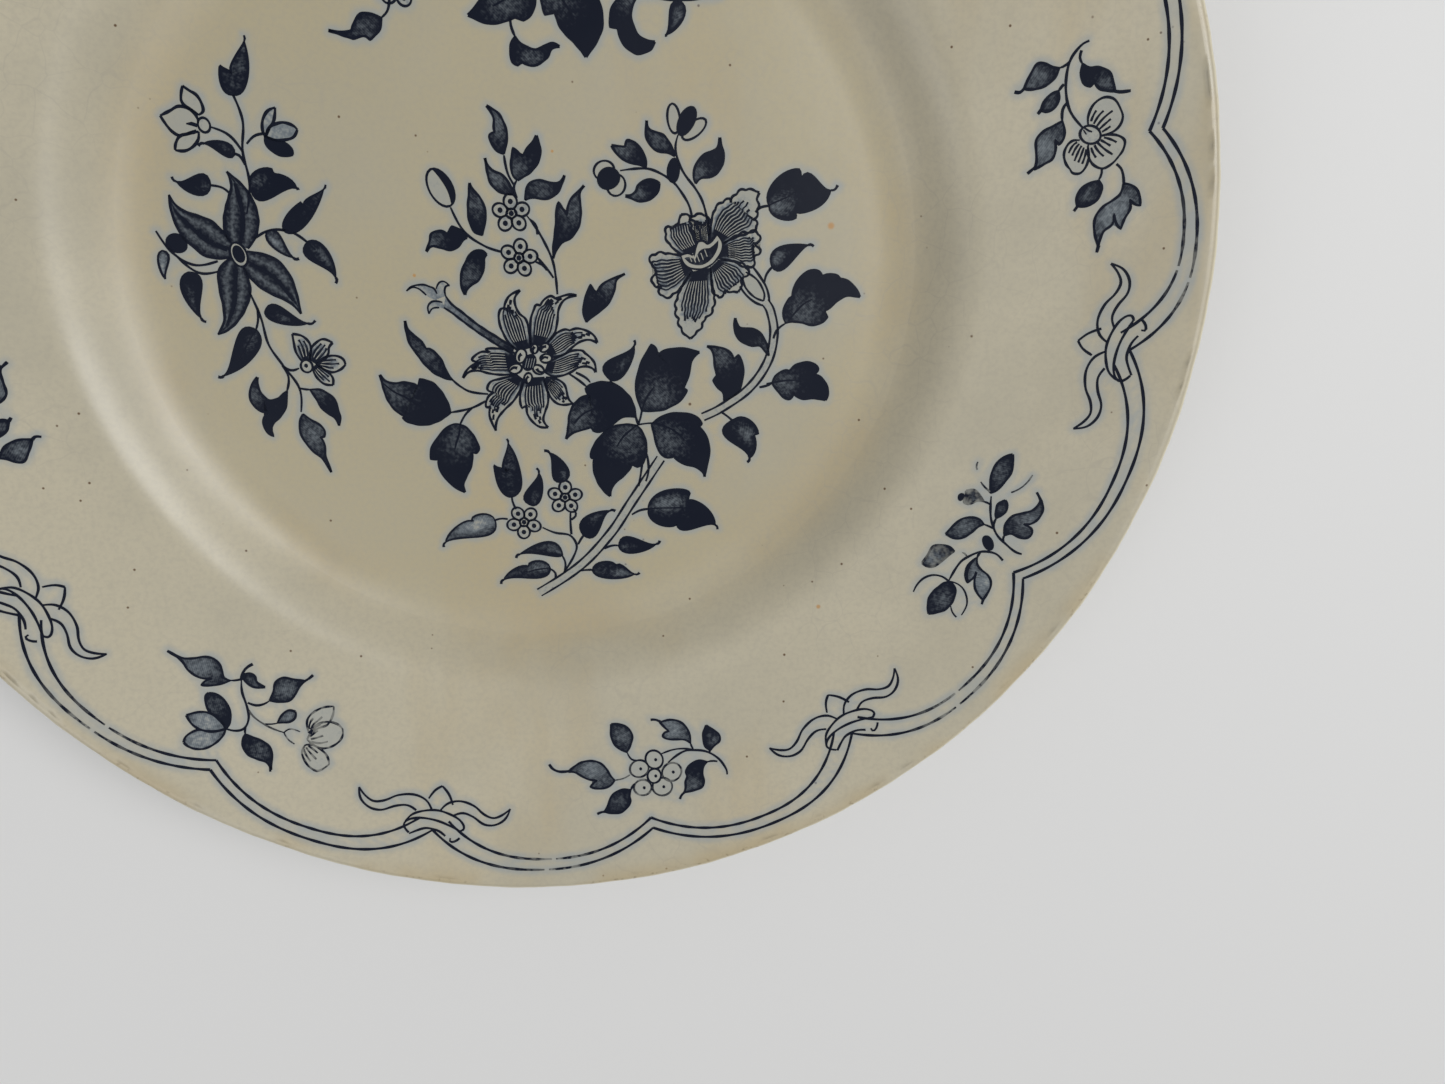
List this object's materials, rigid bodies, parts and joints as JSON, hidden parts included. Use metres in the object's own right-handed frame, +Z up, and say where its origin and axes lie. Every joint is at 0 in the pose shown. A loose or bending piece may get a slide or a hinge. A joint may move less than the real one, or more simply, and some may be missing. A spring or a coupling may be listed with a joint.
{
  "type": "dinner plate",
  "caption": "Round earthenware dinner plate with a flat well, broad sloping rim and low foot ring, printed with a scalloped ribbon border and flower sprays under a clear glaze.",
  "frame": {"origin": "centre of the foot ring, on the plane that the plate stands on", "axes": "+Z up along the plate's axis, out of the well; +X and +Y lie in the standing plane, +Y towards the head of the printed pattern"},
  "size_m": [0.254, 0.254, 0.0234],
  "materials": {
    "cream_earthenware": "fired cream clay, matt where bare",
    "clear_glaze": "clear ivory glaze, glossy, finely crazed",
    "blue_black_print": "blue-black transfer print seen through the glaze"
  },
  "bodies": {
    "root": {"earthenware_body": "cream_earthenware", "front_glaze": "clear_glaze", "recess_glaze": "clear_glaze", "border_print_1": "blue_black_print", "border_print_2": "blue_black_print", "border_print_3": "blue_black_print", "border_print_4": "blue_black_print", "border_print_5": "blue_black_print", "border_print_6": "blue_black_print", "border_print_7": "blue_black_print", "border_print_8": "blue_black_print", "rim_sprig_print_1": "blue_black_print", "rim_sprig_print_2": "blue_black_print", "rim_sprig_print_3": "blue_black_print", "rim_sprig_print_4": "blue_black_print", "rim_sprig_print_5": "blue_black_print", "rim_sprig_print_6": "blue_black_print", "rim_sprig_print_7": "blue_black_print", "rim_sprig_print_8": "blue_black_print", "bouquet_print": "blue_black_print", "side_spray_print": "blue_black_print", "head_spray_print": "blue_black_print"}
  },
  "joints": []
}
